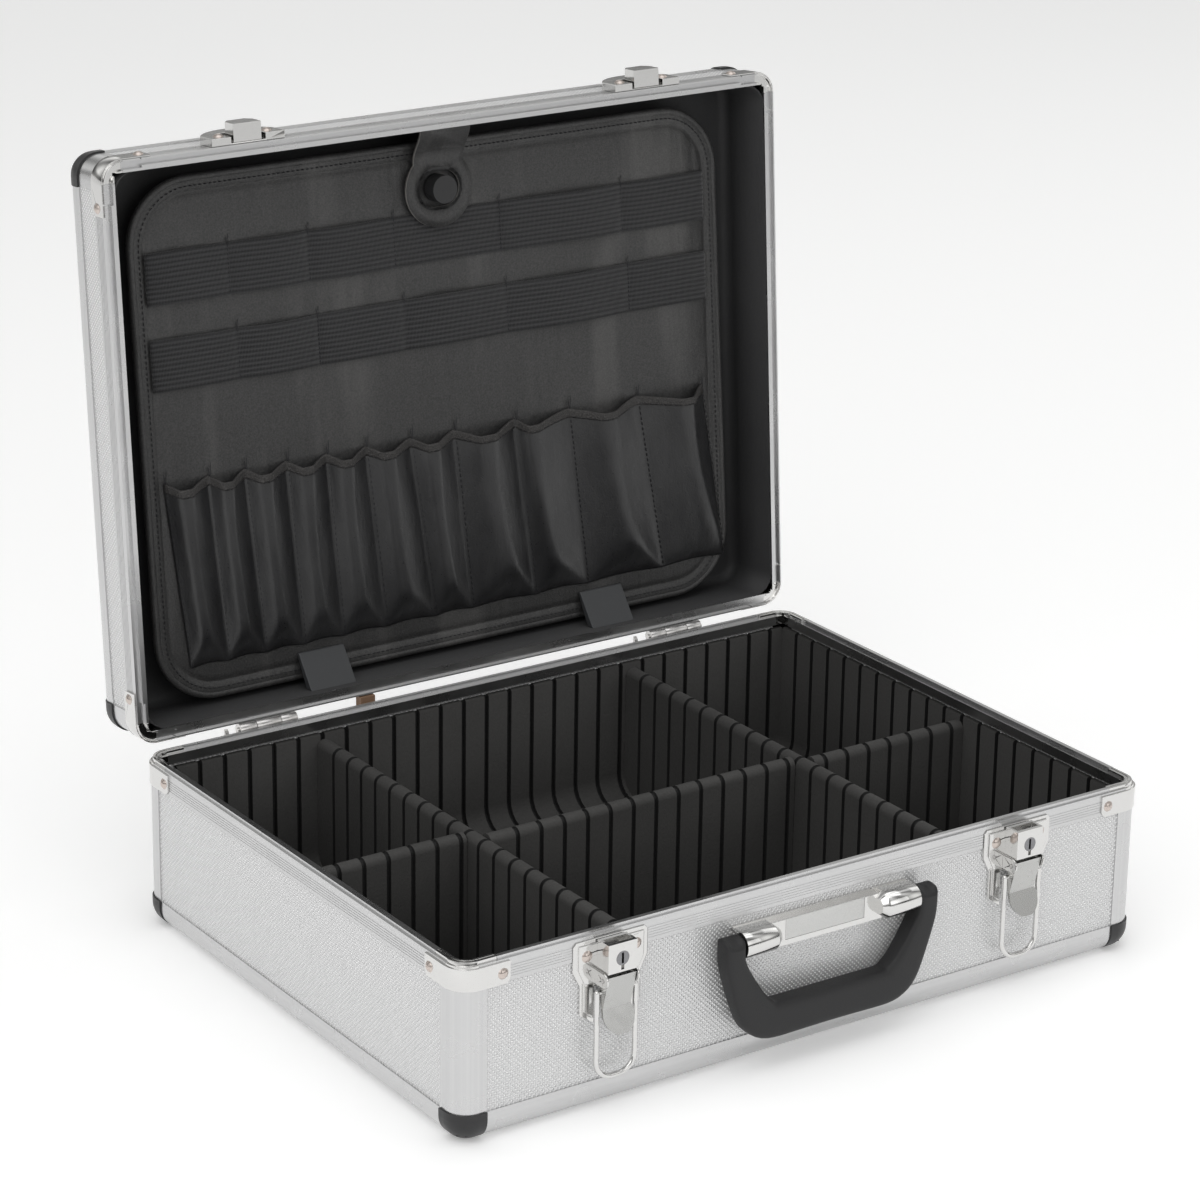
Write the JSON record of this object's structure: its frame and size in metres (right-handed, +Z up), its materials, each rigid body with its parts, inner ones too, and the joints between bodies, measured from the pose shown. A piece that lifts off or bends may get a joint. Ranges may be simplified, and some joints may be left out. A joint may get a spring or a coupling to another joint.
{
  "type": "aluminum attache case",
  "caption": "Hard-sided attache case with aluminium profiles, textured panels, a hinged lid with a tool board, lift-out foam dividers, draw latches and a swinging carrying handle.",
  "frame": {"origin": "centre of the case's underside, between its edge profiles", "axes": "+Z up, +Y to the hinges at the back, +X to the right as seen from the handle"},
  "size_m": [0.4652, 0.4304, 0.4549],
  "materials": {
    "aluminium_profile": "satin",
    "textured_panel": "embossed with small diamonds, satin",
    "polished_chrome": "polished",
    "bright_steel": "bright",
    "rivet_steel": "satin, slightly warm",
    "black_plastic": "fine grain",
    "foam": "matt, ribbed",
    "lid_foam": "matt, smooth",
    "leatherette": "creased, semi-matt",
    "elastic": "ribbed weave",
    "label_plate": "blank, fine sparkle",
    "brown_pad": "matt"
  },
  "bodies": {
    "base": {"base_side_panels": "textured_panel", "base_bottom_panel": "textured_panel", "base_corner_posts": "aluminium_profile", "base_edge_profiles": "aluminium_profile", "base_ball_corners": "black_plastic", "base_rims": "aluminium_profile", "base_rim_corners": "polished_chrome", "base_corner_rivets": "rivet_steel", "base_wall_lining": "foam", "base_floor_lining": "foam", "handle_bracket": "polished_chrome", "handle_label": "label_plate", "handle_pins": "bright_steel", "latch_plates": "polished_chrome", "lever_brackets": "polished_chrome", "latch_rivets": "rivet_steel", "lock_bodies": "polished_chrome", "lever_pins": "bright_steel", "hinge_base_leaves": "bright_steel", "hinge_pins": "bright_steel", "hinge_base_rivets": "rivet_steel", "stop_fingers": "bright_steel", "stop_pad": "brown_pad"},
    "lid": {"lid_side_panels": "textured_panel", "lid_top_panel": "textured_panel", "lid_corner_posts": "aluminium_profile", "lid_edge_profiles": "aluminium_profile", "lid_ball_corners": "black_plastic", "lid_rims": "aluminium_profile", "lid_rim_corners": "polished_chrome", "lid_corner_rivets": "rivet_steel", "lid_wall_lining": "lid_foam", "lid_top_lining": "lid_foam", "hinge_lid_leaves": "bright_steel", "hinge_lid_rivets": "rivet_steel", "keeper_covers": "polished_chrome", "keeper_hooks": "polished_chrome", "keeper_rivets": "rivet_steel", "board_clips": "black_plastic"},
    "handle": {"handle_grip": "black_plastic"},
    "plug_left": {"lock_plug_left": "bright_steel"},
    "plug_right": {"lock_plug_right": "bright_steel"},
    "lever_left": {"lever_left": "polished_chrome"},
    "lever_right": {"lever_right": "polished_chrome"},
    "bail_left": {"bail_left": "polished_chrome"},
    "bail_right": {"bail_right": "polished_chrome"},
    "long_divider_left": {"divider_long_left": "foam"},
    "long_divider_right": {"divider_long_right": "foam"},
    "cross_divider_left": {"divider_cross_left": "foam"},
    "cross_divider_middle": {"divider_cross_middle": "foam"},
    "cross_divider_right": {"divider_cross_right": "foam"},
    "board": {"tool_board": "leatherette", "board_binding": "leatherette", "elastic_bands": "elastic", "pockets": "leatherette", "turn_base": "black_plastic"},
    "knob": {"turn_knob": "black_plastic"},
    "strap": {"strap": "leatherette", "strap_plate": "black_plastic"}
  },
  "joints": [
    {"name": "lid_hinge", "type": "hinge", "parent": "base", "child": "lid", "pos_m": [0, 0.17315, 0.1024], "axis": [-1, 0, 0], "range_deg": [-94.4, 0]},
    {"name": "handle_swing", "type": "hinge", "parent": "base", "child": "handle", "pos_m": [0, -0.177, 0.0765], "axis": [-1, 0, 0], "range_deg": [0, 100]},
    {"name": "plug_left_turn", "type": "hinge", "parent": "base", "child": "plug_left", "pos_m": [-0.137, -0.179, 0.0905], "axis": [0, -1, 0], "range_deg": [0, 90]},
    {"name": "lever_left_lift", "type": "hinge", "parent": "base", "child": "lever_left", "pos_m": [-0.137, -0.178, 0.0786], "axis": [-1, 0, 0], "range_deg": [0, 120]},
    {"name": "bail_left_swing", "type": "hinge", "parent": "lever_left", "child": "bail_left", "pos_m": [-0.137, -0.1755, 0.071], "axis": [1, 0, 0], "range_deg": [-176, 0]},
    {"name": "plug_right_turn", "type": "hinge", "parent": "base", "child": "plug_right", "pos_m": [0.137, -0.179, 0.0905], "axis": [0, -1, 0], "range_deg": [0, 90]},
    {"name": "lever_right_lift", "type": "hinge", "parent": "base", "child": "lever_right", "pos_m": [0.137, -0.178, 0.0786], "axis": [-1, 0, 0], "range_deg": [0, 120]},
    {"name": "bail_right_swing", "type": "hinge", "parent": "lever_right", "child": "bail_right", "pos_m": [0.137, -0.1755, 0.071], "axis": [1, 0, 0], "range_deg": [-176, 0]},
    {"name": "long_divider_left_lift", "type": "slide", "parent": "base", "child": "long_divider_left", "axis": [0, 0, 1], "range_m": [0, 0.1]},
    {"name": "long_divider_right_lift", "type": "slide", "parent": "base", "child": "long_divider_right", "axis": [0, 0, 1], "range_m": [0, 0.1]},
    {"name": "cross_divider_left_lift", "type": "slide", "parent": "base", "child": "cross_divider_left", "axis": [0, 0, 1], "range_m": [0, 0.1]},
    {"name": "cross_divider_middle_lift", "type": "slide", "parent": "base", "child": "cross_divider_middle", "axis": [0, 0, 1], "range_m": [0, 0.1]},
    {"name": "cross_divider_right_lift", "type": "slide", "parent": "base", "child": "cross_divider_right", "axis": [0, 0, 1], "range_m": [0, 0.1]},
    {"name": "board_tilt", "type": "hinge", "parent": "lid", "child": "board", "pos_m": [0, 0.19692, 0.13231], "axis": [1, 0, 0], "range_deg": [0, 3]},
    {"name": "strap_flip", "type": "hinge", "parent": "lid", "child": "strap", "pos_m": [0, 0.21133, 0.4344], "axis": [-1, 0, 0], "range_deg": [0, 100]},
    {"name": "knob_turn", "type": "hinge", "parent": "board", "child": "knob", "pos_m": [0, 0.21782, 0.39602], "axis": [0, -0.9956, 0.0941], "range_deg": [0, 90]}
  ],
  "couplings": [
    {"joint": "board_tilt", "follows": "strap_flip", "ratio": 0.03}
  ]
}
